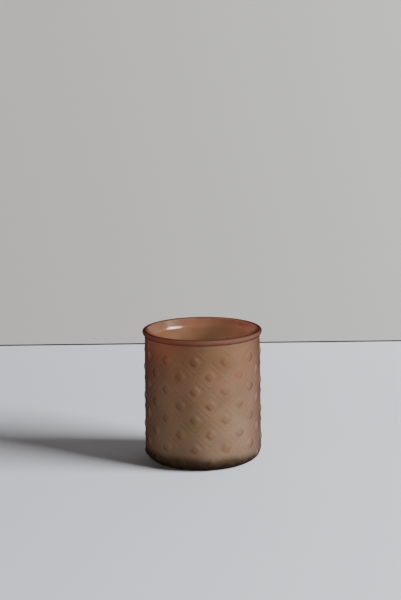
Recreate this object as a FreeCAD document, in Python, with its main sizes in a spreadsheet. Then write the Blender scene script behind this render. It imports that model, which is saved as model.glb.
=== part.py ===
"""Tealight holder: a frosted pressed-glass cup with a harlequin relief, and the tealight that burns in it.

The frame is +Z up with the origin at the centre of the underside, on the surface that the cup stands on.
Sizes are in millimetres. The pieces, from the outside in:

glass_cup       one piece of glass: stand ring, heel, wall narrowing upwards, rolled lip, diamond relief
aluminium_cup   the tealight's drawn cup, standing loose on the glass floor
wax_puck        the pressed paraffin puck, loose in the aluminium cup and threaded on the wick
wick_sustainer  the tinned steel foot that keeps the wick upright, under the puck
wick            the waxed cotton wick, crimped into the sustainer's neck
"""

import FreeCAD, Part
import math
import os
import Sketcher
from collections import namedtuple

SHEET = "Dimensions"

DIMENSIONS = {
    # glass cup
    "cup_height": 80.0,
    "wall_radius_top": 34.45,
    "wall_radius_heel": 35.0,
    "heel_radius": 7.6,
    "lip_outer_radius": 35.85,
    "lip_under_radius": 2.6,
    "lip_top_radius": 1.3,
    "mouth_depth": 3.5,
    "mouth_lean": 0.5,
    "mouth_corner_radius": 5.0,
    "bore_radius_low": 29.9,
    "floor_height": 5.5,
    "floor_corner_radius": 5.0,
    "stand_ring_inner_radius": 21.0,
    "punt_radius": 18.0,
    "punt_depth": 0.8,
    # relief: rows of diamond cells, every other row turned by half a cell
    "cells_round": 12.0,
    "cell_rows": 8.0,
    "row_spacing": 8.75,
    "lowest_row_height": 5.6,
    "first_column_angle": 7.5,
    "frame_inset": 1.3,
    "frame_width": 0.8,
    "frame_relief": 0.2,
    "stud_foot_inradius": 3.4,
    "stud_top_inradius": 1.9,
    "stud_relief": 0.75,
    "stud_root": 0.75,
    "relief_root": 1.0,
    "relief_lowest": 1.6,
    # aluminium cup of the tealight
    "tin_height": 16.0,
    "tin_radius_top": 19.0,
    "tin_radius_foot": 18.7,
    "tin_foot_fillet": 1.2,
    "tin_sheet": 0.3,
    "tin_curl_radius": 0.45,
    "tin_curl_overhang": 0.6,
    "tin_panel_radius": 15.5,
    "tin_panel_rise": 0.5,
    "tin_panel_step": 0.8,
    # wax puck
    "wax_radius": 18.1,
    "wax_height": 12.0,
    "wax_edge": 0.6,
    "wax_foot_chamfer": 1.0,
    "wax_wick_hole_radius": 1.15,
    "wax_neck_hole_radius": 1.8,
    "wax_neck_hole_depth": 4.2,
    "wax_foot_recess_radius": 6.8,
    "wax_foot_recess_depth": 0.6,
    "wax_dimple_radius": 3.2,
    "wax_dimple_depth": 0.5,
    # wick and its sustainer
    "sustainer_radius": 6.25,
    "sustainer_sheet": 0.25,
    "neck_radius": 1.35,
    "neck_height": 3.4,
    "neck_bore_radius": 0.95,
    "wick_radius": 0.9,
    "wick_above_wax": 8.0,
    "wick_tip_radius": 0.35,
}


class Dim:
    """A length that knows its value and the expression over the sheet's cells that gives it."""

    def __init__(self, value, text):
        self.value = value
        self.text = text

    def _with(self, other, sign, value):
        text = other.text if isinstance(other, Dim) else repr(float(other))
        return Dim(value, f"({self.text} {sign} {text})")

    def __add__(self, other):
        return self._with(other, "+", self.value + number(other))

    def __sub__(self, other):
        return self._with(other, "-", self.value - number(other))

    def __mul__(self, other):
        return self._with(other, "*", self.value * number(other))

    def __truediv__(self, other):
        return self._with(other, "/", self.value / number(other))

    def root(self):
        return Dim(math.sqrt(self.value), f"sqrt({self.text})")


def number(length):
    """The plain value of a Dim or of a number."""
    return length.value if isinstance(length, Dim) else float(length)


def make_sheet(doc):
    """Writes the driving dimensions to the sheet, one row each, and returns them as Dims by name."""
    sheet = doc.addObject("Spreadsheet::Sheet", SHEET)
    dims = {}
    for row, (alias, value) in enumerate(DIMENSIONS.items(), start=1):
        sheet.set(f"A{row}", alias.replace("_", " "))
        sheet.set(f"B{row}", str(value))
        sheet.setAlias(f"B{row}", alias)
        dims[alias] = Dim(value, f"{SHEET}.{alias}")
    doc.recompute()
    return dims


def origin_feature(body, role):
    """The body's own origin plane or axis with that role."""
    return next(f for f in body.Origin.OriginFeatures if f.Role == role)


# An edge that is an arc. anticlockwise is the way it runs from its corner to the next one, and wide says
# that it goes round more than half of its circle.
Bend = namedtuple("Bend", "radius anticlockwise wide", defaults=(True, False))


def arc_between(start, end, bend):
    """The circular arc that runs from start to end as bend says."""
    radius = number(bend.radius)
    chord = end - start
    half = chord.Length / 2
    reach = math.sqrt(max(radius * radius - half * half, 0.0))
    left = FreeCAD.Vector(-chord.y, chord.x, 0).normalize()
    centre_is_left = bend.anticlockwise != bend.wide
    centre = (start + end) * 0.5 + left * (reach if centre_is_left else -reach)
    angles = [math.atan2(v.y, v.x) for v in (start - centre, end - centre)]
    if not bend.anticlockwise:
        angles.reverse()
    if angles[1] < angles[0]:
        angles[1] += 2 * math.pi
    circle = Part.Circle(centre, FreeCAD.Vector(0, 0, 1), radius)
    return Part.ArcOfCircle(circle, angles[0], angles[1])


def revolved_body(doc, label, outline, base_height=None):
    """A PartDesign body made by turning a closed outline round Z.

    outline is a list of (radius, height, bend). bend is None where the edge to the next corner is straight,
    and a Bend where it is an arc. Every corner and radius is bound to the sheet.
    """
    body = doc.addObject("PartDesign::Body", label)
    body.Label = label
    sketch = body.newObject("Sketcher::SketchObject", label + "_outline")
    sketch.AttachmentSupport = (origin_feature(body, "XZ_Plane"), [""])
    sketch.MapMode = "FlatFace"
    corners = [FreeCAD.Vector(number(r), number(z), 0) for r, z, _ in outline]
    ends = []
    for i, (_, _, bend) in enumerate(outline):
        start, end = corners[i], corners[(i + 1) % len(outline)]
        if bend is None:
            sketch.addGeometry(Part.LineSegment(start, end), False)
            ends.append((1, 2))
        else:
            sketch.addGeometry(arc_between(start, end, bend), False)
            ends.append((1, 2) if bend.anticlockwise else (2, 1))
    for i, (radius, height, bend) in enumerate(outline):
        following = (i + 1) % len(outline)
        sketch.addConstraint(
            Sketcher.Constraint("Coincident", i, ends[i][1], following, ends[following][0])
        )
        bind_corner(sketch, i, ends[i][0], radius, height)
        if bend is not None:
            index = sketch.addConstraint(Sketcher.Constraint("Radius", i, number(bend.radius)))
            bind(sketch, index, bend.radius)
    turn = body.newObject("PartDesign::Revolution", label + "_turned")
    turn.Profile = sketch
    turn.ReferenceAxis = (sketch, ["V_Axis"])
    turn.Angle = 360.0
    if base_height is not None:
        body.setExpression("Placement.Base.z", base_height.text)
    return body


def bind(sketch, index, length):
    """Binds a dimension constraint to the sheet."""
    if isinstance(length, Dim):
        sketch.setExpression(f"Constraints[{index}]", length.text)


def bind_corner(sketch, edge, point, radius, height):
    """Places one end of an edge at a radius and a height, both bound to the sheet."""
    if number(radius) == 0.0:
        sketch.addConstraint(Sketcher.Constraint("PointOnObject", edge, point, -2))
    else:
        index = sketch.addConstraint(
            Sketcher.Constraint("DistanceX", -1, 1, edge, point, number(radius))
        )
        bind(sketch, index, radius)
    if number(height) == 0.0:
        sketch.addConstraint(Sketcher.Constraint("PointOnObject", edge, point, -1))
    else:
        index = sketch.addConstraint(
            Sketcher.Constraint("DistanceY", -1, 1, edge, point, number(height))
        )
        bind(sketch, index, height)


def neck_height(d):
    """The height at which the lip starts to stand out from the wall."""
    overlap = d["wall_radius_top"] - (d["lip_outer_radius"] - d["lip_under_radius"])
    drop = (d["lip_under_radius"] * d["lip_under_radius"] - overlap * overlap).root()
    return d["cup_height"] - d["lip_top_radius"] - drop


def glass_blank(doc, d):
    """The glass before its relief: stand ring, heel, wall, rolled lip, flared mouth, bore and floor.

    mouth_lean is the sine of the mouth's slope, measured from upright.
    """
    lip_middle = d["cup_height"] - d["lip_top_radius"]
    lean = d["mouth_lean"]
    upright = (Dim(1.0, "1.0") - lean * lean).root()
    mouth_top_radius = d["lip_outer_radius"] - d["lip_top_radius"] - d["lip_top_radius"] * upright
    mouth_top_height = lip_middle + d["lip_top_radius"] * lean
    mouth_foot_radius = mouth_top_radius - d["mouth_depth"] * lean / upright
    mouth_foot_height = mouth_top_height - d["mouth_depth"]
    bore = mouth_foot_radius + d["mouth_corner_radius"] * upright - d["mouth_corner_radius"]
    outline = [
        (0.0, d["punt_depth"], None),
        (d["punt_radius"], d["punt_depth"], None),
        (d["stand_ring_inner_radius"], 0.0, None),
        (d["wall_radius_heel"] - d["heel_radius"], 0.0, Bend(d["heel_radius"])),
        (d["wall_radius_heel"], d["heel_radius"], None),
        (d["wall_radius_top"], neck_height(d), Bend(d["lip_under_radius"])),
        (d["lip_outer_radius"], lip_middle, Bend(d["lip_top_radius"])),
        (mouth_top_radius, mouth_top_height, None),
        (mouth_foot_radius, mouth_foot_height, Bend(d["mouth_corner_radius"])),
        (bore, mouth_foot_height - d["mouth_corner_radius"] * lean, None),
        (
            d["bore_radius_low"],
            d["floor_height"] + d["floor_corner_radius"],
            Bend(d["floor_corner_radius"], anticlockwise=False),
        ),
        (d["bore_radius_low"] - d["floor_corner_radius"], d["floor_height"], None),
        (0.0, d["floor_height"], None),
    ]
    return revolved_body(doc, "glass_blank", outline)


def diamond(half_width, half_height, depth):
    """A closed diamond outline in a plane across +X, depth millimetres out from the axis."""
    corners = [(half_width, 0), (0, half_height), (-half_width, 0), (0, -half_height), (half_width, 0)]
    return Part.makePolygon([FreeCAD.Vector(depth, y, z) for y, z in corners])


def wall_radius_at(d, height):
    """The radius of the plain wall at a height above the heel."""
    top, heel = d["wall_radius_top"].value, d["wall_radius_heel"].value
    rise = neck_height(d).value - d["heel_radius"].value
    return heel + (top - heel) * (height - d["heel_radius"].value) / rise


def relief_skin(d, relief):
    """A closed skin on the heel and the wall, from relief_root inside their surface to relief outside it."""
    heel, wall_heel = d["heel_radius"].value, d["wall_radius_heel"].value
    top = neck_height(d).value
    centre = FreeCAD.Vector(wall_heel - heel, 0, heel)
    lean = math.atan2(wall_heel - wall_radius_at(d, top), top - heel)
    lowest = math.asin((heel - d["relief_lowest"].value) / heel)
    edges = []
    ends = []
    for offset in (relief, -d["relief_root"].value):
        low, middle, high = [
            centre + FreeCAD.Vector(math.cos(a), 0, math.sin(a)) * (heel + offset)
            for a in (-lowest, -lowest / 2, lean)
        ]
        rim = FreeCAD.Vector(wall_radius_at(d, top) + offset, 0, top)
        edges += [Part.Arc(low, middle, high).toShape(), Part.makeLine(high, rim)]
        ends.append((low, rim))
    for outer_end, inner_end in zip(*ends):
        edges.append(Part.makeLine(outer_end, inner_end))
    outline = Part.Wire(Part.__sortEdges__(edges))
    return Part.Face(outline).revolve(FreeCAD.Vector(), FreeCAD.Vector(0, 0, 1), 360)


def cell_relief(d, height, frame_skin, stud_skin):
    """The raised frame and the stud of the cell that is centred on +X at a height.

    A stud on the wall has splayed sides and a flat top. One on the heel is cut to follow its curve.
    """
    on_heel = height < d["heel_radius"].value
    wall = wall_radius_at(d, max(height, d["heel_radius"].value))
    half_width = math.pi * wall / d["cells_round"].value
    half_height = d["row_spacing"].value
    inradius = half_width * half_height / math.hypot(half_width, half_height)
    inside = wall - d["heel_radius"].value
    through = FreeCAD.Vector(2 * d["heel_radius"].value, 0, 0)

    def sized(reach, depth):
        share = reach / inradius
        return diamond(half_width * share, half_height * share, depth)

    frame_middle = inradius - d["frame_inset"].value
    half_frame = d["frame_width"].value / 2
    outer, inner = [
        Part.Face(sized(frame_middle + side, inside)).extrude(through)
        for side in (half_frame, -half_frame)
    ]
    frame = outer.cut(inner)

    foot, top, relief = (d["stud_" + name].value for name in ("foot_inradius", "top_inradius", "relief"))
    if on_heel:
        stud = Part.Face(sized((foot + top) / 2, inside)).extrude(through).common(stud_skin)
    else:
        root = d["stud_root"].value
        splayed_foot = foot + (foot - top) * root / relief
        stud = Part.makeLoft([sized(splayed_foot, wall - root), sized(top, wall + relief)], True, True)
    lift = FreeCAD.Vector(0, 0, height)
    frame.translate(lift)
    stud.translate(lift)
    return [frame.common(frame_skin), stud]


def relief_shape(d):
    """Every cell's frame and stud, round the wall and the heel."""
    frame_skin = relief_skin(d, d["frame_relief"].value)
    stud_skin = relief_skin(d, d["stud_relief"].value)
    step = 360.0 / d["cells_round"].value
    axis = FreeCAD.Vector(0, 0, 1)
    raised = []
    for row in range(int(d["cell_rows"].value)):
        height = d["lowest_row_height"].value + row * d["row_spacing"].value
        cell = cell_relief(d, height, frame_skin, stud_skin)
        start = d["first_column_angle"].value - 90.0 + (step / 2 if row % 2 else 0.0)
        for column in range(int(d["cells_round"].value)):
            for piece in cell:
                turned = piece.copy()
                turned.rotate(FreeCAD.Vector(), axis, start + column * step)
                raised.append(turned)
    return Part.makeCompound(raised)


def glass_cup(doc, d):
    """The blank with its relief fused on as one piece of glass."""
    blank = glass_blank(doc, d)
    relief = doc.addObject("Part::Feature", "harlequin_relief")
    relief.Shape = relief_shape(d)
    doc.recompute()
    cup = doc.addObject("Part::Feature", "glass_cup")
    cup.Label = "glass_cup"
    cup.Shape = blank.Shape.multiFuse(relief.Shape.Solids)
    return cup


def aluminium_cup(doc, d):
    """Drawn cup with a raised base panel, a rounded foot and a curled lip."""
    curl_centre = d["tin_radius_top"] + d["tin_curl_overhang"] - d["tin_curl_radius"]
    curl_height = d["tin_height"] - d["tin_curl_radius"]
    overlap = curl_centre - d["tin_radius_top"]
    under_curl = curl_height - (
        d["tin_curl_radius"] * d["tin_curl_radius"] - overlap * overlap
    ).root()
    step_radius = d["tin_panel_radius"] + d["tin_panel_step"]
    outline = [
        (0.0, d["tin_panel_rise"], None),
        (d["tin_panel_radius"], d["tin_panel_rise"], None),
        (step_radius, 0.0, None),
        (d["tin_radius_foot"] - d["tin_foot_fillet"], 0.0, Bend(d["tin_foot_fillet"])),
        (d["tin_radius_foot"], d["tin_foot_fillet"], None),
        (d["tin_radius_top"], under_curl, Bend(d["tin_curl_radius"], wide=True)),
        (curl_centre - d["tin_curl_radius"], curl_height, None),
        (
            d["tin_radius_foot"] - d["tin_sheet"],
            d["tin_foot_fillet"],
            Bend(d["tin_foot_fillet"] - d["tin_sheet"], anticlockwise=False),
        ),
        (d["tin_radius_foot"] - d["tin_foot_fillet"], d["tin_sheet"], None),
        (step_radius + d["tin_sheet"] * 0.5, d["tin_sheet"], None),
        (
            d["tin_panel_radius"] + d["tin_sheet"] * 0.5,
            d["tin_panel_rise"] + d["tin_sheet"],
            None,
        ),
        (0.0, d["tin_panel_rise"] + d["tin_sheet"], None),
    ]
    return revolved_body(doc, "aluminium_cup", outline, d["floor_height"])


def seat_height(d):
    """The top of the aluminium cup's base panel, where the candle stands, above the cup's own foot."""
    return d["tin_panel_rise"] + d["tin_sheet"]


def wax_puck(doc, d):
    """Pressed paraffin puck with a dimple round the wick and a recess for the sustainer under it."""
    top = d["wax_height"]
    outline = [
        (d["wax_foot_recess_radius"], 0.0, None),
        (d["wax_radius"] - d["wax_foot_chamfer"], 0.0, None),
        (d["wax_radius"], d["wax_foot_chamfer"], None),
        (d["wax_radius"], top - d["wax_edge"], Bend(d["wax_edge"])),
        (d["wax_radius"] - d["wax_edge"], top, None),
        (d["wax_dimple_radius"], top, None),
        (d["wax_wick_hole_radius"], top - d["wax_dimple_depth"], None),
        (d["wax_wick_hole_radius"], d["wax_neck_hole_depth"], None),
        (d["wax_neck_hole_radius"], d["wax_neck_hole_depth"], None),
        (d["wax_neck_hole_radius"], d["wax_foot_recess_depth"], None),
        (d["wax_foot_recess_radius"], d["wax_foot_recess_depth"], None),
    ]
    return revolved_body(doc, "wax_puck", outline, d["floor_height"] + seat_height(d))


def wick_sustainer(doc, d):
    """Stamped steel foot: a flat disc with a neck drawn up round the wick."""
    flare = d["sustainer_sheet"] * 2.0
    outline = [
        (d["neck_bore_radius"], 0.0, None),
        (d["sustainer_radius"], 0.0, None),
        (d["sustainer_radius"], d["sustainer_sheet"], None),
        (d["neck_radius"] + flare, d["sustainer_sheet"], Bend(flare, anticlockwise=False)),
        (d["neck_radius"], d["sustainer_sheet"] + flare, None),
        (d["neck_radius"], d["neck_height"], None),
        (d["neck_bore_radius"], d["neck_height"], None),
    ]
    return revolved_body(doc, "wick_sustainer", outline, d["floor_height"] + seat_height(d))


def wick(doc, d):
    """Stiff waxed cotton wick, from the sustainer's foot to above the wax."""
    length = d["wax_height"] + d["wick_above_wax"]
    outline = [
        (0.0, d["sustainer_sheet"], None),
        (d["wick_radius"], d["sustainer_sheet"], None),
        (d["wick_radius"], length - d["wick_tip_radius"], Bend(d["wick_tip_radius"])),
        (d["wick_radius"] - d["wick_tip_radius"], length, None),
        (0.0, length, None),
    ]
    return revolved_body(doc, "wick", outline, d["floor_height"] + seat_height(d))


def check(doc, parts):
    """Stops with a message if any object failed or any sub-part isn't a valid closed solid."""
    for thing in doc.Objects:
        if {"Invalid", "Error"} & set(thing.State):
            raise RuntimeError(f"{thing.Label} did not recompute: {thing.State}")
    for part in parts:
        shape = part.Shape
        if shape.isNull() or not shape.isValid() or not shape.Solids:
            raise RuntimeError(f"{part.Label} has no valid solid")
        box = shape.optimalBoundingBox()
        print(
            f"{part.Label}: {len(shape.Solids)} solid, {len(shape.Faces)} faces, "
            f"{shape.Volume:.1f} mm3, z {box.ZMin:.2f} to {box.ZMax:.2f}, r {box.XMax:.2f}"
        )


def main():
    doc = FreeCAD.newDocument("tealight_holder")
    d = make_sheet(doc)
    parts = [make(doc, d) for make in (glass_cup, aluminium_cup, wax_puck, wick_sustainer, wick)]
    doc.recompute()
    check(doc, parts)
    os.makedirs("parts", exist_ok=True)
    for part in parts:
        part.Shape.exportStep(os.path.join("parts", part.Label + ".step"))


main()
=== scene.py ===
"""Looks for the tealight holder: a frosted glass cup with a harlequin relief, and the tealight in it.

Every length is in metres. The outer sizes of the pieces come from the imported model's boxes.
"""

from math import acos, atan2, cos, degrees, pi, radians, sin, sqrt, tan

import bpy
import numpy as np
from mathutils import Matrix, Vector


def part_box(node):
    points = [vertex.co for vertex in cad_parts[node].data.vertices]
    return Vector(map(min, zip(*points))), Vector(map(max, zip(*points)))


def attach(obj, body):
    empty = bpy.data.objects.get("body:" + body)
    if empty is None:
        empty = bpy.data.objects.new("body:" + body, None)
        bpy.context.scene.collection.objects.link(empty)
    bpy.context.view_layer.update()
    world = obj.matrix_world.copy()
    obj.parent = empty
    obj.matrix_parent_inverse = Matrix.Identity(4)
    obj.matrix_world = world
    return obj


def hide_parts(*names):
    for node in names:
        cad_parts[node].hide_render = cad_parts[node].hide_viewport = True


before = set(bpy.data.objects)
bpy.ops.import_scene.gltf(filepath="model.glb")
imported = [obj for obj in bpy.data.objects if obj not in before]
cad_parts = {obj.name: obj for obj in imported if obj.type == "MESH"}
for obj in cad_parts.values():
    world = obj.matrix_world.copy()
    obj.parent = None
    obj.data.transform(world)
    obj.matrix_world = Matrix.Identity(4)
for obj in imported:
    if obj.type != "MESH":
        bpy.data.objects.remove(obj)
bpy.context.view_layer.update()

MM = 0.001


# ---------------------------------------------------------------- outlines

def line(start, end, spacing):
    """Points from start towards end, without end, at about that spacing."""
    start, end = np.array(start, float), np.array(end, float)
    count = max(1, int(round(np.linalg.norm(end - start) / spacing)))
    return [start + (end - start) * i / count for i in range(count)]


def arc(centre, radius, first, last, spacing):
    """Points along an arc between two angles in degrees, without the last one, at about that spacing."""
    sweep = radians(last - first)
    count = max(4, int(round(abs(sweep) * radius / spacing)))
    angles = [radians(first) + sweep * i / count for i in range(count)]
    return [np.array([centre[0] + radius * cos(a), centre[1] + radius * sin(a)]) for a in angles]


def smooth(edge_low, edge_high, value):
    """0 below the low edge, 1 above the high one, and an easy turn between them."""
    t = np.clip((value - edge_low) / (edge_high - edge_low), 0.0, 1.0)
    return t * t * (3.0 - 2.0 * t)


# ---------------------------------------------------------------- turned pieces

def mesh_piece(name, verts, faces, material, body, nodes):
    """A smooth-shaded mesh that rides on a body and stands for CAD nodes."""
    mesh = bpy.data.meshes.new(name)
    mesh.from_pydata(verts.tolist(), [], faces)
    mesh.update()
    mesh.shade_smooth()
    piece = bpy.data.objects.new(name, mesh)
    bpy.context.collection.objects.link(piece)
    mesh.materials.append(material)
    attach(piece, body)
    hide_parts(*nodes)
    return piece


def turned(outline, segments, offset):
    """Vertices and faces of an outline turned round Z.

    The outline runs from the axis to the axis, so its first and last points become single vertices.
    offset(ring, angles) gives how far each vertex of a ring stands out along the outline's normal.
    """
    outline = np.array(outline)
    angles = np.arange(segments) * (2 * pi / segments)
    tangent = np.gradient(outline, axis=0)
    tangent /= np.linalg.norm(tangent, axis=1)[:, None]
    normal = np.stack([tangent[:, 1], -tangent[:, 0]], axis=1)
    verts = [(0.0, 0.0, outline[0][1])]
    faces = []
    inner = range(1, len(outline) - 1)
    for ring in inner:
        stand_out = offset(ring, angles)
        radius = outline[ring][0] + normal[ring][0] * stand_out
        height = outline[ring][1] + normal[ring][1] * stand_out
        verts += list(zip(radius * np.cos(angles), radius * np.sin(angles), height))
    verts.append((0.0, 0.0, outline[-1][1]))
    last = len(verts) - 1

    def index(ring, column):
        return 1 + (ring - 1) * segments + column % segments

    for column in range(segments):
        faces.append((0, index(1, column + 1), index(1, column)))
        for ring in inner[:-1]:
            faces.append(
                (
                    index(ring, column),
                    index(ring, column + 1),
                    index(ring + 1, column + 1),
                    index(ring + 1, column),
                )
            )
        faces.append((last, index(inner[-1], column), index(inner[-1], column + 1)))
    return np.array(verts), faces


def set_attribute(piece, name, values):
    """Writes one number per vertex, for the piece's material to read."""
    attribute = piece.data.attributes.new(name, "FLOAT", "POINT")
    attribute.data.foreach_set("value", np.asarray(values, dtype=np.float32))


# ---------------------------------------------------------------- material helpers

class Nodes:
    """A short way to build a node tree: each call adds a node and links its inputs."""

    def __init__(self, name):
        self.material = bpy.data.materials.new(name)
        self.material.use_nodes = True
        self.tree = self.material.node_tree
        self.shader = self.tree.nodes["Principled BSDF"]

    def add(self, kind, settings=(), **inputs):
        node = self.tree.nodes.new(kind)
        for key, value in dict(settings).items():
            setattr(node, key, value)
        for key, value in inputs.items():
            self.feed(node.inputs[key.replace("_", " ")], value)
        return node

    def feed(self, socket, value):
        if isinstance(value, bpy.types.NodeSocket):
            self.tree.links.new(value, socket)
        else:
            socket.default_value = value

    def set(self, **inputs):
        for key, value in inputs.items():
            self.feed(self.shader.inputs[key.replace("_", " ")], value)

    def math(self, operation, first, second):
        node = self.tree.nodes.new("ShaderNodeMath")
        node.operation = operation
        self.feed(node.inputs[0], first)
        self.feed(node.inputs[1], second)
        return node.outputs[0]

    def mix(self, factor, first, second, blend="MIX"):
        node = self.tree.nodes.new("ShaderNodeMix")
        node.data_type = "RGBA"
        node.blend_type = blend
        self.feed(node.inputs["Factor"], factor)
        self.feed(node.inputs["A"], first)
        self.feed(node.inputs["B"], second)
        return node.outputs["Result"]

    def noise(self, scale, detail=2.0, roughness=0.5, vector=None):
        node = self.add("ShaderNodeTexNoise", Scale=scale, Detail=detail, Roughness=roughness)
        self.feed(node.inputs["Vector"], vector or self.position())
        return node.outputs[0]

    def position(self):
        """The object's own coordinates, in metres."""
        return self.add("ShaderNodeTexCoord").outputs["Object"]

    def axis(self, letter):
        return self.add("ShaderNodeSeparateXYZ", Vector=self.position()).outputs[letter]

    def attribute(self, name):
        return self.add("ShaderNodeAttribute", {"attribute_name": name}).outputs["Fac"]

    def ramp(self, factor, stops):
        node = self.tree.nodes.new("ShaderNodeValToRGB")
        elements = node.color_ramp.elements
        while len(elements) < len(stops):
            elements.new(0.5)
        for element, (place, colour) in zip(elements, stops):
            element.position = place
            element.color = colour
        self.feed(node.inputs[0], factor)
        return node.outputs["Color"]

    def spread(self, value, low, high, to_low, to_high):
        node = self.tree.nodes.new("ShaderNodeMapRange")
        for socket, number in zip(node.inputs[:5], (value, low, high, to_low, to_high)):
            self.feed(socket, number)
        return node.outputs[0]

    def bump(self, height, strength, distance):
        node = self.add("ShaderNodeBump", Height=height, Strength=strength, Distance=distance)
        self.feed(self.shader.inputs["Normal"], node.outputs["Normal"])


# ---------------------------------------------------------------- the glass cup

cup_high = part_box("glass_cup")[1]
HEIGHT = cup_high[2]
LIP_RADIUS = cup_high[0]

LIP_UNDER = 2.6 * MM
LIP_TOP = 1.3 * MM
MOUTH_DEPTH = 3.5 * MM
MOUTH_SLOPE = 30.0
MOUTH_CORNER = 5.0 * MM
WALL_TOP = LIP_RADIUS - 1.4 * MM
WALL_HEEL = LIP_RADIUS - 0.85 * MM
HEEL = 7.6 * MM
RING_INNER = 21.0 * MM
PUNT = 18.0 * MM
PUNT_DEPTH = 0.8 * MM
BORE_LOW = 29.9 * MM
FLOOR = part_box("aluminium_cup")[0][2]
FLOOR_CORNER = 5.0 * MM

CELLS_ROUND = 12
ROWS = 8
ROW_SPACING = 8.75 * MM
LOWEST_ROW = 5.6 * MM
FIRST_COLUMN = radians(7.5 - 90.0)
STUD_FOOT = 0.50
STUD_TOP = 0.16
STUD_RELIEF = 0.66 * MM
STUD_ROUNDING = 3.0
FRAME_PLACE = 0.79
FRAME_HALF_WIDTH = 0.085
FRAME_RELIEF = 0.13 * MM
FRAME_ROUNDING = 16.0
FRAME_FLAT = 0.2
FADE_FROM = -0.5 * HEEL
FADE_TO = -0.2 * HEEL
SEAM_BELOW_LIP = 1.6 * MM
SEAM_RELIEF = 0.07 * MM
SEAM_HALF_WIDTH = 0.7 * MM
LIP_FADE_FROM = 0.6
LIP_FADE = 0.7
CREST_FROM = HEIGHT - 0.7 * MM
CREST_TO = HEIGHT - 0.1 * MM
CUP_SEGMENTS = 600
FINE = 0.36 * MM
COARSE = 1.5 * MM

# the outline's zones, in order
UNDERSIDE, ROUND_HEEL, WALL, LIP, INSIDE = range(5)


def neck_height():
    """The height at which the lip starts to stand out from the wall."""
    overlap = WALL_TOP - (LIP_RADIUS - LIP_UNDER)
    return HEIGHT - LIP_TOP - sqrt(LIP_UNDER**2 - overlap**2)


def glass_outline():
    """The cup's section from the underside's centre round the lip to the floor's centre, and its zones."""
    under = (LIP_RADIUS - LIP_UNDER, HEIGHT - LIP_TOP)
    over = (LIP_RADIUS - LIP_TOP, HEIGHT - LIP_TOP)
    neck_angle = -degrees(acos((WALL_TOP - under[0]) / LIP_UNDER))
    neck = neck_height()
    slope = radians(MOUTH_SLOPE)
    mouth_top = (over[0] - LIP_TOP * cos(slope), over[1] + LIP_TOP * sin(slope))
    mouth_foot = (mouth_top[0] - MOUTH_DEPTH * tan(slope), mouth_top[1] - MOUTH_DEPTH)
    corner = (mouth_foot[0] + MOUTH_CORNER * cos(slope), mouth_foot[1] - MOUTH_CORNER * sin(slope))
    bore = corner[0] - MOUTH_CORNER
    below = line((0, PUNT_DEPTH), (PUNT, PUNT_DEPTH), COARSE)
    below += line((PUNT, PUNT_DEPTH), (RING_INNER, 0), COARSE)
    below += line((RING_INNER, 0), (WALL_HEEL - HEEL, 0), COARSE)
    heel = arc((WALL_HEEL - HEEL, HEEL), HEEL, -90, 0, FINE)
    wall = line((WALL_HEEL, HEEL), (WALL_TOP, neck), FINE)
    lip = arc(under, LIP_UNDER, neck_angle, 0, FINE / 2)
    lip += arc(over, LIP_TOP, 0, 180 - MOUTH_SLOPE, FINE / 2)
    inside = line(mouth_top, mouth_foot, FINE)
    inside += arc(corner, MOUTH_CORNER, 180 - MOUTH_SLOPE, 180, FINE)
    inside += line((bore, corner[1]), (BORE_LOW, FLOOR + FLOOR_CORNER), COARSE)
    inside += arc((BORE_LOW - FLOOR_CORNER, FLOOR + FLOOR_CORNER), FLOOR_CORNER, 0, -90, COARSE / 2)
    inside += line((BORE_LOW - FLOOR_CORNER, FLOOR), (0, FLOOR), COARSE)
    inside.append(np.array((0, FLOOR)))
    parts = (below, heel, wall, lip, inside)
    zones = [zone for zone, part in enumerate(parts) for _ in part]
    return below + heel + wall + lip + inside, zones


def relief(way_up, angles):
    """At a height along the wall: how far the relief stands out, and the shares of stud and plain foot."""
    across = (angles - FIRST_COLUMN) / (pi / CELLS_ROUND)
    up = (way_up - LOWEST_ROW) / ROW_SPACING
    rising, falling = (up + across) / 2, (up - across) / 2
    row = np.round(rising) + np.round(falling)
    inside_rows = (row >= 0) & (row < ROWS)
    a, b = np.abs(rising - np.round(rising)), np.abs(falling - np.round(falling))

    def from_centre(rounding):
        return 2 * (a**rounding + b**rounding) ** (1 / rounding)

    stud = 1 - smooth(STUD_TOP, STUD_FOOT, from_centre(STUD_ROUNDING))
    off_line = np.abs(from_centre(FRAME_ROUNDING) - FRAME_PLACE) / FRAME_HALF_WIDTH
    stand_out = STUD_RELIEF * stud + FRAME_RELIEF * (1 - smooth(FRAME_FLAT, 1.0, off_line))
    # The third share marks the heel below the lowest row, which the colour darkens with painted contact
    # shade, partly the darker thick base.
    return stand_out * inside_rows, stud * inside_rows, (row < 0).astype(float)


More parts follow.
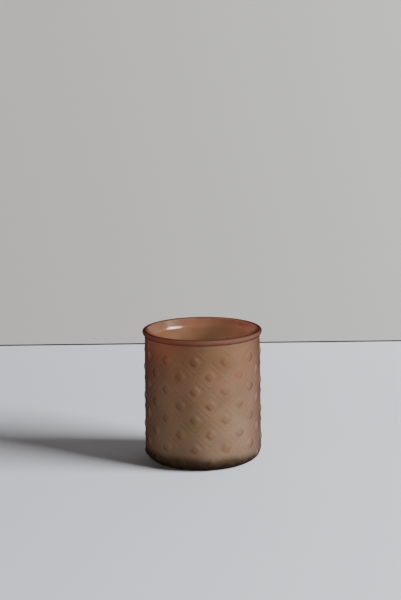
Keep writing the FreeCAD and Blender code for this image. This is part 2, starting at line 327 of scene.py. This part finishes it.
def glass_cup(etched, polished):
    """The whole cup as one closed mesh, with the relief standing out of its wall and heel."""
    outline, zones = glass_outline()
    ways_up = []
    for (radius, height), zone in zip(outline, zones):
        if zone == ROUND_HEEL:
            below_wall = atan2(HEEL - height, radius - (WALL_HEEL - HEEL))
            ways_up.append(HEEL * (1 - below_wall))
        else:
            ways_up.append(height)
    studs = np.zeros((len(outline), CUP_SEGMENTS))
    feet = np.zeros((len(outline), CUP_SEGMENTS))
    seam = neck_height() - SEAM_BELOW_LIP

    def offset(ring, angles):
        if zones[ring] not in (ROUND_HEEL, WALL):
            return np.zeros(len(angles))
        fade = smooth(FADE_FROM, FADE_TO, ways_up[ring]) if zones[ring] == ROUND_HEEL else 1.0
        stand_out, stud, feet[ring] = relief(ways_up[ring], angles)
        studs[ring] = stud * fade
        ridge = SEAM_RELIEF * (1 - smooth(0.0, SEAM_HALF_WIDTH, abs(ways_up[ring] - seam)))
        return stand_out * fade + ridge

    verts, faces = turned(outline, CUP_SEGMENTS, offset)
    piece = mesh_piece("frosted_cup", verts, faces, etched, "holder", ["glass_cup"])
    per_ring = np.array(zones[1:-1])

    def whole_rings(shares):
        return np.concatenate((shares[:1], np.repeat(shares, CUP_SEGMENTS), shares[-1:]))

    for name, shares in (("stud", studs), ("foot", feet)):
        set_attribute(piece, name, np.concatenate(([0.0], shares[1:-1].ravel(), [0.0])))
    lip = np.flatnonzero(per_ring == LIP)
    bead = np.zeros(len(per_ring))
    bead[lip] = 1 - LIP_FADE * smooth(LIP_FADE_FROM, 1.0, np.linspace(0, 1, len(lip)))
    heights = np.array([height for _, height in outline[1:-1]])
    set_attribute(piece, "lip", whole_rings(bead))
    set_attribute(piece, "underside", whole_rings((per_ring == UNDERSIDE).astype(float)))
    set_attribute(piece, "crest", whole_rings(smooth(CREST_FROM, CREST_TO, heights)))
    piece.data.materials.append(polished)
    first_inside = 1 + int(np.argmax(per_ring == INSIDE)) * CUP_SEGMENTS
    for polygon in piece.data.polygons:
        if min(polygon.vertices) >= first_inside:
            polygon.material_index = 1
    return piece


SCATTER_RADIUS = (1.0, 0.55, 0.35)
SCATTER_SCALE = 0.010
EDGE_COAT_IOR = 1.03

WALL_STAIN = [
    (0.13, (0.870, 0.710, 0.500, 1)),
    (0.45, (0.850, 0.670, 0.470, 1)),
    (0.75, (0.830, 0.585, 0.390, 1)),
    (1.00, (0.830, 0.545, 0.360, 1)),
]
CLOUD_SHIFT = 0.10
PATCH_DARK = (0.79, 0.82, 0.74, 1)
PATCH_PALE = (1.0, 0.96, 0.96, 1)
# Painted contact shade on the heel below the relief, partly the darker thick base.
FOOT_SHADE_AND_THICK_GLASS, FOOT_SHARE = (0.14, 0.11, 0.055, 1), 0.75
STUD_DEEPENS, STUD_SHARE = (0.60, 0.42, 0.34, 1), 0.30
LIP_STAIN, LIP_SHARE = (0.60, 0.32, 0.235, 1), 0.85
CREST_STAIN, CREST_SHARE = (0.26, 0.09, 0.07, 1), 0.8
UNDERSIDE_STAIN = (0.52, 0.42, 0.28, 1)
# Painted contact shade: the outside turns near black towards the table, where the heel faces down into its
# own shadow, partly also the darker thick base.
HEEL_SHADE_AND_THICK_GLASS = [(0.00, (0.080, 0.066, 0.036, 1)), (0.08, (0.310, 0.255, 0.160, 1))]
POLISHED_FLOOR = [(0.00, (0.500, 0.420, 0.280, 1)), (0.07, (0.600, 0.520, 0.350, 1))]
# Painted shade: the whole inside is darkened to stand in for the cup's shadow inside it.
INSIDE_PAINTED_SHADE = (0.60, 0.56, 0.53, 1)


def translucent(n, transmission):
    """Lets part of the light scatter inside the glass instead of going straight through."""
    n.set(Transmission_Weight=transmission, Subsurface_Weight=1.0)
    n.set(Subsurface_Radius=SCATTER_RADIUS, Subsurface_Scale=SCATTER_SCALE)


def edge_coat(n, roughness, tint):
    """A tinted coat with almost no gloss, which darkens the glass where it is seen at a slant."""
    n.set(Coat_Weight=1.0, Coat_IOR=EDGE_COAT_IOR, Coat_Roughness=roughness, Coat_Tint=tint)


def stain_and_painted_shade(n, low_stops):
    """The glass's colour: terracotta near the lip, olive brown lower down, deeper on studs and lip. On the
    outside, the darkening at the bottom and on the foot is painted contact shade, partly the darker thick
    base; on the inside, the low stops give the floor its brown.
    """

    def towards(stain_and_shade, attribute, share, colour):
        return n.mix(n.math("MULTIPLY", n.attribute(attribute), share), stain_and_shade, colour)

    height = n.spread(n.axis("Z"), 0.0, HEIGHT, 0.0, 1.0)
    cloud = n.noise(45.0, 3.0)
    shifted = n.math("ADD", height, n.math("MULTIPLY", n.math("SUBTRACT", cloud, 0.5), CLOUD_SHIFT))
    # The low stops darken the bottom: on the outside this is painted contact shade at the heel, and on the
    # inside it is the floor's brown.
    stain_and_shade = n.ramp(shifted, low_stops + WALL_STAIN)
    patch = n.spread(n.noise(75.0, 3.0), 0.35, 0.65, 0.0, 1.0)
    stain_and_shade = n.mix(1.0, stain_and_shade, n.mix(patch, PATCH_DARK, PATCH_PALE), "MULTIPLY")
    # Painted contact shade on the heel below the relief, partly the darker thick base.
    stain_and_shade = towards(stain_and_shade, "foot", FOOT_SHARE, FOOT_SHADE_AND_THICK_GLASS)
    stain_and_shade = towards(stain_and_shade, "stud", STUD_SHARE, n.mix(1.0, stain_and_shade, STUD_DEEPENS, "MULTIPLY"))
    stain_and_shade = towards(stain_and_shade, "lip", LIP_SHARE, LIP_STAIN)
    stain_and_shade = towards(stain_and_shade, "crest", CREST_SHARE, CREST_STAIN)
    return n.mix(n.attribute("underside"), stain_and_shade, UNDERSIDE_STAIN)


def etched_glass():
    """The outside: acid-etched, with a fine even grain."""
    n = Nodes("etched_glass")
    # The outside's colour carries painted contact shade at the heel and on the foot below the relief.
    n.set(Base_Color=stain_and_painted_shade(n, HEEL_SHADE_AND_THICK_GLASS), IOR=1.35)
    translucent(n, 0.77)
    n.set(Specular_Tint=(0.32, 0.15, 0.07, 1))
    edge_coat(n, 0.6, (0.620, 0.562, 0.582, 1))
    grain = n.noise(2600.0, 2.0, 0.6)
    n.set(Roughness=n.spread(grain, 0.0, 1.0, 0.78, 0.90))
    n.bump(grain, 0.15, 0.0001)
    return n.material


def polished_glass():
    """The inside: smooth from the plunger, with a slight long waviness."""
    n = Nodes("polished_glass")
    # The inside's colour is multiplied by painted shade that stands in for the cup's shadow inside it.
    shaded_inside = n.mix(1.0, stain_and_painted_shade(n, POLISHED_FLOOR), INSIDE_PAINTED_SHADE, "MULTIPLY")
    n.set(Base_Color=shaded_inside, IOR=1.5)
    translucent(n, 0.76)
    edge_coat(n, 0.2, (0.80, 0.74, 0.70, 1))
    wave = n.noise(140.0, 1.0)
    n.set(Roughness=n.spread(wave, 0.0, 1.0, 0.15, 0.22))
    n.bump(wave, 0.02, 0.0005)
    return n.material


# ---------------------------------------------------------------- the tealight

TIN_LOW, TIN_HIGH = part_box("aluminium_cup")
TIN_RIM = TIN_HIGH[0]
TIN_TOP = TIN_HIGH[2]
TIN_SHEET = 0.3 * MM
TIN_CURL = 0.45 * MM
TIN_WALL_TOP = TIN_RIM - 0.6 * MM
TIN_WALL_FOOT = TIN_RIM - 0.9 * MM
TIN_FOOT_FILLET = 1.2 * MM
TIN_PANEL = 15.5 * MM
TIN_PANEL_RISE = 0.5 * MM
TIN_PANEL_STEP = 0.8 * MM
TIN_SEGMENTS = 288
TIN_FLUTES = 36
TIN_FLUTE_DEPTH = 0.06 * MM
TIN_FLUTES_START = (0.08, 0.2)
TIN_FLUTES_END = (0.80, 0.93)
TIN_SPACING = 0.5 * MM
TIN_COARSE = 1.5 * MM


def aluminium_cup(material):
    """Drawn cup: raised base panel, rounded foot, faintly fluted wall and curled rim."""
    z = TIN_LOW[2]
    curl = (TIN_RIM - TIN_CURL, TIN_TOP - TIN_CURL)
    overlap = TIN_WALL_TOP - curl[0]
    under_curl = curl[1] - sqrt(TIN_CURL**2 - overlap**2)
    start = degrees(atan2(under_curl - curl[1], overlap))
    step = TIN_PANEL + TIN_PANEL_STEP
    foot = (TIN_WALL_FOOT - TIN_FOOT_FILLET, z + TIN_FOOT_FILLET)
    fine = TIN_CURL / 4
    outline = line((0, z + TIN_PANEL_RISE), (TIN_PANEL, z + TIN_PANEL_RISE), TIN_COARSE)
    outline += line((TIN_PANEL, z + TIN_PANEL_RISE), (step, z), TIN_SPACING)
    outline += line((step, z), (foot[0], z), TIN_SPACING)
    outline += arc(foot, TIN_FOOT_FILLET, -90, 0, TIN_SPACING / 2)
    outline += line((TIN_WALL_FOOT, foot[1]), (TIN_WALL_TOP, under_curl), TIN_SPACING)
    outline += arc(curl, TIN_CURL, start, 180, fine)
    outline += line(
        (curl[0] - TIN_CURL, curl[1]), (TIN_WALL_FOOT - TIN_SHEET, foot[1]), TIN_SPACING
    )
    outline += arc(foot, TIN_FOOT_FILLET - TIN_SHEET, 0, -90, TIN_SPACING / 2)
    outline += line((foot[0], z + TIN_SHEET), (step, z + TIN_SHEET), TIN_SPACING)
    floor = z + TIN_PANEL_RISE + TIN_SHEET
    outline += line((step, z + TIN_SHEET), (TIN_PANEL, floor), TIN_SPACING)
    outline += line((TIN_PANEL, floor), (0, floor), TIN_COARSE)
    outline.append(np.array((0, floor)))
    places = np.array(outline)

    def offset(ring, angles):
        radius, height = places[ring]
        if radius < TIN_WALL_FOOT - 2 * TIN_SHEET:
            return np.zeros(len(angles))
        along = (height - z) / (TIN_TOP - z)
        share = smooth(*TIN_FLUTES_START, along) * (1 - smooth(*TIN_FLUTES_END, along))
        outer = radius > TIN_WALL_FOOT + (TIN_WALL_TOP - TIN_WALL_FOOT) * along - TIN_SHEET / 2
        wave = TIN_FLUTE_DEPTH * share * (np.cos(TIN_FLUTES * angles) - 1) / 2
        return wave if outer else -wave

    verts, faces = turned(outline, TIN_SEGMENTS, offset)
    return mesh_piece(
        "tealight_tin", verts, faces, material, "tealight_shell", ["aluminium_cup"]
    )


WAX_LOW, WAX_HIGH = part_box("wax_puck")
WICK_LOW, WICK_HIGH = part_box("wick")
WAX_RADIUS = WAX_HIGH[0]
WAX_EDGE = 0.6 * MM
WAX_HOLE = 1.0 * MM
NECK_HOLE = 1.8 * MM
NECK_HOLE_TOP = 4.2 * MM
FOOT_RECESS = 6.8 * MM
FOOT_RECESS_DEPTH = 0.6 * MM
WAX_SUNKEN = 0.35 * MM
WAX_DIMPLE = 0.45 * MM
WAX_RIPPLE = 0.03 * MM
WAX_SEGMENTS = 240


def ring_surface(outline, segments, offset=None):
    """Vertices and faces of a closed outline turned round Z that never meets the axis."""
    places = np.array(outline)
    angles = np.arange(segments) * (2 * pi / segments)
    verts = []
    for ring, (radius, height) in enumerate(places):
        lift = offset(ring, angles) if offset else np.zeros(segments)
        verts += list(
            zip(radius * np.cos(angles), radius * np.sin(angles), np.full(segments, height) + lift)
        )
    faces = []
    for ring in range(len(places)):
        following = (ring + 1) % len(places)
        for column in range(segments):
            beside = (column + 1) % segments
            faces.append(
                (
                    ring * segments + column,
                    ring * segments + beside,
                    following * segments + beside,
                    following * segments + column,
                )
            )
    return np.array(verts), faces


def wax_puck(material):
    """Pressed puck whose top is slightly sunken and uneven, with a dimple round the wick."""
    low, top = WAX_LOW[2], WAX_HIGH[2]
    chamfer = 1.0 * MM
    fine, coarse = 0.25 * MM, 1.0 * MM
    outline = line((FOOT_RECESS, low), (WAX_RADIUS - chamfer, low), coarse)
    outline += line((WAX_RADIUS - chamfer, low), (WAX_RADIUS, low + chamfer), fine)
    outline += line((WAX_RADIUS, low + chamfer), (WAX_RADIUS, top - WAX_EDGE), coarse)
    outline += arc((WAX_RADIUS - WAX_EDGE, top - WAX_EDGE), WAX_EDGE, 0, 90, fine / 2)
    surface_from = len(outline)
    outline += line((WAX_RADIUS - WAX_EDGE, top), (WAX_HOLE, top), fine)
    surface_to = len(outline)
    outline += line((WAX_HOLE, top - 0.2 * MM), (WAX_HOLE, low + NECK_HOLE_TOP), coarse)
    outline += line((WAX_HOLE, low + NECK_HOLE_TOP), (NECK_HOLE, low + NECK_HOLE_TOP), fine)
    outline += line((NECK_HOLE, low + NECK_HOLE_TOP), (NECK_HOLE, low + FOOT_RECESS_DEPTH), coarse)
    outline += line(
        (NECK_HOLE, low + FOOT_RECESS_DEPTH), (FOOT_RECESS, low + FOOT_RECESS_DEPTH), coarse
    )
    outline += line((FOOT_RECESS, low + FOOT_RECESS_DEPTH), (FOOT_RECESS, low), fine)
    places = np.array(outline)

    def offset(ring, angles):
        if not surface_from <= ring < surface_to:
            return np.zeros(len(angles))
        radius = places[ring][0]
        sunken = -WAX_SUNKEN * smooth(WAX_RADIUS - WAX_EDGE, WAX_RADIUS - 4.0 * MM, radius)
        dimple = -WAX_DIMPLE * (1 - smooth(1.4 * MM, 3.4 * MM, radius))
        ripple = WAX_RIPPLE * np.sin(3 * angles + radius * 600) * smooth(2 * MM, 6 * MM, radius)
        edge = 1 - smooth(WAX_RADIUS - 2.0 * MM, WAX_RADIUS - WAX_EDGE, radius)
        return sunken + dimple + ripple * edge - WAX_RIPPLE * edge

    verts, faces = ring_surface(outline, WAX_SEGMENTS, offset)
    return mesh_piece("wax_tablet", verts, faces, material, "candle", ["wax_puck"])


def wick_sustainer(material):
    """Stamped foot with a rounded edge, and a drawn neck that flares into it."""
    low_corner, high_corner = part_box("wick_sustainer")
    low, top, radius = low_corner[2], high_corner[2], high_corner[0]
    sheet, bore, neck = 0.25 * MM, 0.95 * MM, 1.35 * MM
    fine = 0.2 * MM
    flare = 0.5 * MM
    outline = line((bore, low), (radius - sheet / 2, low), 4 * fine)
    outline += arc((radius - sheet / 2, low + sheet / 2), sheet / 2, -90, 90, sheet / 8)
    outline += line((radius - sheet / 2, low + sheet), (neck + flare, low + sheet), 4 * fine)
    outline += arc((neck + flare, low + sheet + flare), flare, 270, 180, fine / 2)
    outline += line((neck, low + sheet + flare), (neck, top), fine)
    outline += line((neck, top), (bore, top), fine)
    outline += line((bore, top), (bore, low), 2 * fine)
    verts, faces = ring_surface(outline, 96)
    return mesh_piece(
        "wick_foot", verts, faces, material, "candle", ["wick_sustainer"]
    )


WICK_RADIUS = WICK_HIGH[0]
WICK_STRANDS = 8
WICK_PITCH = 3.2 * MM
WICK_SEGMENTS = 96
WICK_SPACING = 0.08 * MM


def wick(material):
    """Stiff braided cotton: strands that cross over each other, waxed, with a rounded tip."""
    low, top = WICK_LOW[2], WICK_HIGH[2]
    tip = 0.5 * MM
    depth = 0.10 * MM
    outline = [np.array((0.0, low))]
    outline += line((WICK_RADIUS * 0.5, low), (WICK_RADIUS, low + 0.05 * MM), WICK_SPACING)
    outline += line((WICK_RADIUS, low + 0.05 * MM), (WICK_RADIUS, top - tip), WICK_SPACING)
    outline += arc((WICK_RADIUS - tip, top - tip), tip, 0, 90, WICK_SPACING)
    outline += line((WICK_RADIUS - tip, top), (0, top), WICK_SPACING)
    outline.append(np.array((0.0, top)))
    places = np.array(outline)

    def offset(ring, angles):
        radius, height = places[ring]
        turn = 2 * pi * height / WICK_PITCH
        half = WICK_STRANDS / 2
        right = np.abs(np.cos((half * angles + half * turn) / 2))
        left = np.abs(np.cos((half * angles - half * turn) / 2))
        share = min(1.0, radius / WICK_RADIUS) ** 2
        return depth * share * (np.maximum(right, left) ** 0.7 - 1)

    verts, faces = turned(outline, WICK_SEGMENTS, offset)
    return mesh_piece("wick_braid", verts, faces, material, "candle", ["wick"])


def aluminium():
    """Thin drawn aluminium with faint vertical draw lines and smudges."""
    n = Nodes("aluminium")
    stretched = n.add("ShaderNodeMapping", Vector=n.position(), Scale=(1.0, 1.0, 0.06)).outputs[0]
    lines = n.noise(1800.0, 3.0, 0.6, stretched)
    smudge = n.noise(120.0, 2.0)
    n.set(Base_Color=n.mix(smudge, (0.74, 0.74, 0.75, 1), (0.84, 0.84, 0.84, 1)))
    n.set(Roughness=n.spread(n.math("ADD", lines, smudge), 0.4, 1.6, 0.22, 0.42), Metallic=1.0)
    n.bump(lines, 0.2, 0.00005)
    return n.material


def paraffin():
    """Pressed paraffin: off-white, waxy, with pale granules."""
    n = Nodes("paraffin")
    cell = n.add("ShaderNodeTexVoronoi", Vector=n.position(), Scale=900.0).outputs["Distance"]
    cloud = n.noise(160.0, 3.0)
    mottled = n.mix(n.math("MULTIPLY", cell, 0.5), (0.86, 0.83, 0.76, 1), (0.78, 0.74, 0.66, 1))
    n.set(Base_Color=n.mix(n.math("MULTIPLY", cloud, 0.4), mottled, (0.90, 0.88, 0.82, 1)))
    n.set(Roughness=n.spread(cloud, 0.0, 1.0, 0.38, 0.55))
    n.set(Subsurface_Weight=0.35, Subsurface_Radius=(1.0, 0.8, 0.6), Subsurface_Scale=0.0015)
    n.bump(cell, 0.25, 0.0002)
    return n.material


def tinned_steel():
    """Bright tinned steel with fine rolling marks."""
    n = Nodes("tinned_steel")
    rolled = n.add("ShaderNodeMapping", Vector=n.position(), Scale=(0.08, 1.0, 1.0)).outputs[0]
    marks = n.noise(2400.0, 3.0, 0.6, rolled)
    n.set(Base_Color=n.mix(marks, (0.52, 0.52, 0.53, 1), (0.66, 0.66, 0.66, 1)))
    n.set(Roughness=n.spread(marks, 0.2, 0.8, 0.28, 0.45), Metallic=1.0)
    n.bump(marks, 0.15, 0.00003)
    return n.material


def waxed_cotton():
    """Off-white cotton yarn stiffened with wax."""
    n = Nodes("waxed_cotton")
    fibre = n.noise(6000.0, 3.0, 0.7)
    n.set(Base_Color=n.mix(fibre, (0.74, 0.70, 0.60, 1), (0.90, 0.87, 0.79, 1)))
    n.set(Roughness=n.spread(fibre, 0.2, 0.8, 0.55, 0.75))
    n.bump(fibre, 0.3, 0.00004)
    return n.material


glass_cup(etched_glass(), polished_glass())
aluminium_cup(aluminium())
wax_puck(paraffin())
wick_sustainer(tinned_steel())
wick(waxed_cotton())


# ---------------------------------------------------------------- setting

FLOOR_FRONT = -1.2
FLOOR_BACK = 0.322
STAGE_SIDE = 1.6
WALL_HEIGHT = 0.30
WALL_GAP = 0.0010


def stage_plane(name, corners, colour, roughness, one_sided=False):
    """A plain matte sheet through four corners. One-sided, it can be seen through from behind."""
    mesh = bpy.data.meshes.new(name)
    mesh.from_pydata(corners, [], [(0, 1, 2, 3)])
    plane = bpy.data.objects.new(name, mesh)
    bpy.context.collection.objects.link(plane)
    material = bpy.data.materials.new(name)
    material.use_nodes = True
    shader = material.node_tree.nodes["Principled BSDF"]
    shader.inputs["Base Color"].default_value = colour
    shader.inputs["Roughness"].default_value = roughness
    if one_sided:
        tree = material.node_tree
        from_behind = tree.nodes.new("ShaderNodeNewGeometry").outputs["Backfacing"]
        clear = tree.nodes.new("ShaderNodeBsdfTransparent").outputs[0]
        mix = tree.nodes.new("ShaderNodeMixShader")
        tree.links.new(from_behind, mix.inputs[0])
        tree.links.new(shader.outputs[0], mix.inputs[1])
        tree.links.new(clear, mix.inputs[2])
        tree.links.new(mix.outputs[0], tree.nodes["Material Output"].inputs["Surface"])
    mesh.materials.append(material)


stage_plane(
    "table",
    [
        (-STAGE_SIDE, FLOOR_FRONT, 0.0),
        (STAGE_SIDE, FLOOR_FRONT, 0.0),
        (STAGE_SIDE, FLOOR_BACK, 0.0),
        (-STAGE_SIDE, FLOOR_BACK, 0.0),
    ],
    (0.645, 0.665, 0.735, 1),
    0.9,
)
stage_plane(
    "backdrop",
    [
        (-STAGE_SIDE, FLOOR_BACK, WALL_GAP),
        (STAGE_SIDE, FLOOR_BACK, WALL_GAP),
        (STAGE_SIDE, FLOOR_BACK, WALL_HEIGHT),
        (-STAGE_SIDE, FLOOR_BACK, WALL_HEIGHT),
    ],
    (0.330, 0.326, 0.322, 1),
    0.9,
    one_sided=True,
)


def area_light(name, place, target, width, height, power, colour):
    """A soft rectangular light that faces a target."""
    data = bpy.data.lights.new(name, "AREA")
    data.shape = "RECTANGLE"
    data.size, data.size_y = width, height
    data.energy = power
    data.color = colour
    light = bpy.data.objects.new(name, data)
    light.location = place
    light.rotation_euler = (Vector(target) - Vector(place)).to_track_quat("-Z", "Y").to_euler()
    bpy.context.collection.objects.link(light)


LIT_POINT = (0, 0, 0.04)
WINDOW_DISTANCE = 2.0
WINDOW_TURN = radians(20)
WINDOW_RISE = radians(24)
WINDOW_PLACE = WINDOW_DISTANCE * Vector(
    (cos(WINDOW_RISE) * cos(WINDOW_TURN), -cos(WINDOW_RISE) * sin(WINDOW_TURN), sin(WINDOW_RISE))
)
REFLECTOR_PLACE = (-1.10, -0.45, 0.07)

area_light("window", WINDOW_PLACE, LIT_POINT, 1.10, 0.75, 134.0, (1.0, 0.995, 0.98))
area_light("reflector", REFLECTOR_PLACE, LIT_POINT, 0.60, 0.10, 6.2, (1.0, 0.91, 0.78))

world = bpy.data.worlds.new("room")
bpy.context.scene.world = world
world.use_nodes = True
background = world.node_tree.nodes["Background"]
background.inputs["Color"].default_value = (1.0, 0.90, 0.76, 1)
background.inputs["Strength"].default_value = 0.026

CAMERA_PLACE = (-0.00074, -0.97869, 0.28485)
CAMERA_PITCH = radians(90 - 10.852)
CAMERA_ROLL = radians(-0.663)

camera_data = bpy.data.cameras.new("camera")
camera_data.lens = 100.0
camera_data.sensor_width = 36.0
camera_data.clip_start = 0.01
camera = bpy.data.objects.new("camera", camera_data)
camera.matrix_world = (
    Matrix.Translation(CAMERA_PLACE)
    @ Matrix.Rotation(CAMERA_PITCH, 4, "X")
    @ Matrix.Rotation(CAMERA_ROLL, 4, "Z")
)
bpy.context.collection.objects.link(camera)
bpy.context.scene.camera = camera
